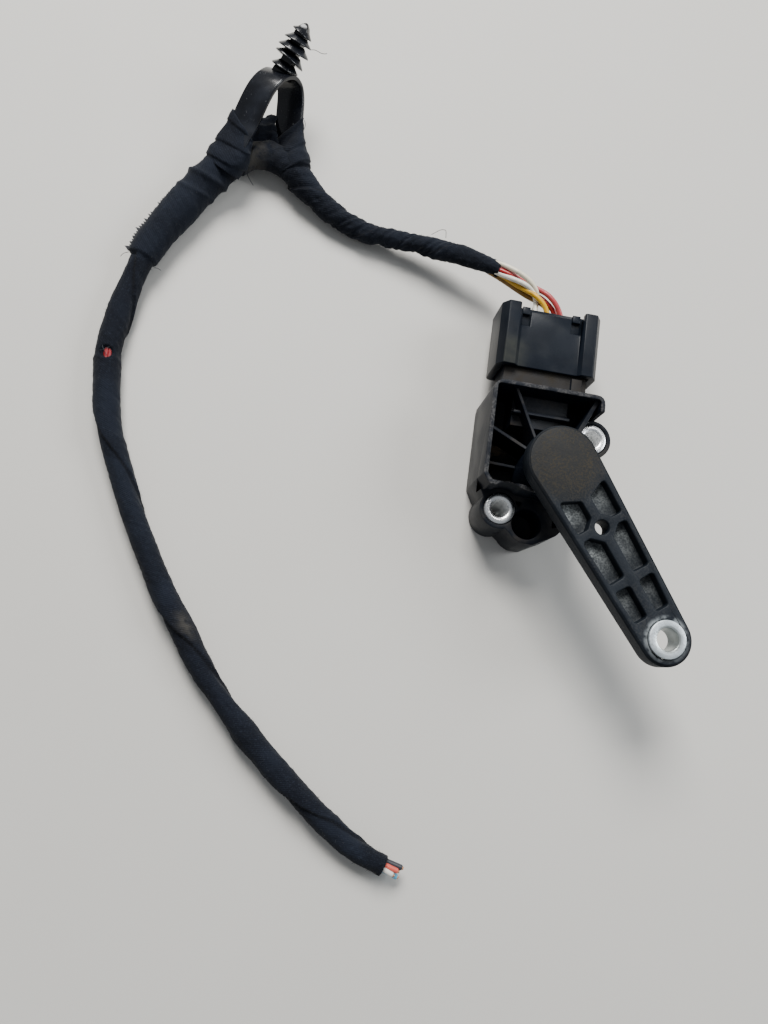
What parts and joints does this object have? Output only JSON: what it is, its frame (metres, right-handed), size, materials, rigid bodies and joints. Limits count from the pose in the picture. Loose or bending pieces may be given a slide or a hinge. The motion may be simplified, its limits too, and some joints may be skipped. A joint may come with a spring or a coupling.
{
  "type": "lever angle sensor",
  "caption": "Vehicle ride-height angle sensor: open-fronted black housing with screw bosses, turning lever with eye, plug with locking slide, and a taped harness with a clip.",
  "frame": {"origin": "where the axis of the lever's shaft meets the flat rear face, which lies on the mounting surface", "axes": "+Z along the shaft and out of the open front, +Y towards the plug, +X to the right seen from the front"},
  "size_m": [0.1789, 0.2473, 0.0323],
  "materials": {
    "housing_plastic": "moulded glass-filled nylon, slightly dusty",
    "lever_plastic": "moulded, fine grain, brown dust on the head",
    "plug_plastic": "moulded, satin",
    "bush_steel": "bright, turned",
    "zinc_bush": "dull zinc plate",
    "shaft_steel": "ground",
    "bronze": "sintered bronze",
    "seal_rubber": "silicone",
    "board": "solder resist",
    "chip_black": "moulded epoxy",
    "ceramic": "ceramic",
    "tinned": "tin plate",
    "magnet": "bonded ferrite",
    "tape_fleece": "napped cloth tape",
    "clip_gloss": "glossy nylon",
    "wire_white": "PVC insulation",
    "wire_yellow": "PVC insulation",
    "wire_brown": "PVC insulation",
    "wire_red": "PVC insulation",
    "wire_pink": "PVC insulation",
    "wire_blue": "PVC insulation",
    "wire_dark": "PVC insulation"
  },
  "bodies": {
    "sensor_body": {"housing": "housing_plastic", "mount_bush_left": "bush_steel", "mount_bush_right": "bush_steel", "rear_cover": "housing_plastic", "cover_seal": "seal_rubber", "circuit_board": "board", "sensor_chip": "chip_black", "capacitor_1": "ceramic", "capacitor_2": "ceramic", "header_pin_1": "tinned", "header_pin_2": "tinned", "header_pin_3": "tinned", "header_pin_4": "tinned", "header_pin_5": "tinned", "header_pin_6": "tinned", "shaft_bearing": "bronze", "shaft_seal": "seal_rubber"},
    "lever": {"lever_arm": "lever_plastic", "lever_eye_bush": "zinc_bush", "shaft": "shaft_steel", "retaining_ring": "shaft_steel", "rotor": "housing_plastic", "rotor_magnet": "magnet"},
    "plug": {"plug_core": "plug_plastic", "plug_seal": "seal_rubber", "wire_seal": "seal_rubber", "wire_retainer": "plug_plastic", "terminal_1": "tinned", "terminal_2": "tinned", "terminal_3": "tinned", "terminal_4": "tinned", "terminal_5": "tinned", "terminal_6": "tinned", "wire_brown_yellow": "wire_brown", "wire_red": "wire_red", "wire_pink_red": "wire_pink", "wire_yellow": "wire_yellow", "wire_white_1": "wire_white", "wire_white_2": "wire_white", "harness_upper": "tape_fleece", "clip_tape": "tape_fleece", "harness_sleeve": "tape_fleece", "harness_lower": "tape_fleece", "cut_wire_light_blue": "wire_blue", "cut_wire_red": "wire_red", "cut_wire_white": "wire_white", "cut_wire_dark": "wire_dark", "harness_clip": "clip_gloss"},
    "lock_slide": {"lock_sleeve": "plug_plastic"}
  },
  "joints": [
    {"name": "lever_turn", "type": "hinge", "parent": "sensor_body", "child": "lever", "pos_m": [0, 0, 0.015], "axis": [0, 0, 1], "continuous": true},
    {"name": "plug_pull", "type": "slide", "parent": "sensor_body", "child": "plug", "axis": [0, 1, 0], "range_m": [0, 0.016]},
    {"name": "lock_slide_back", "type": "slide", "parent": "plug", "child": "lock_slide", "axis": [0, 1, 0], "range_m": [0, 0.0035]}
  ]
}
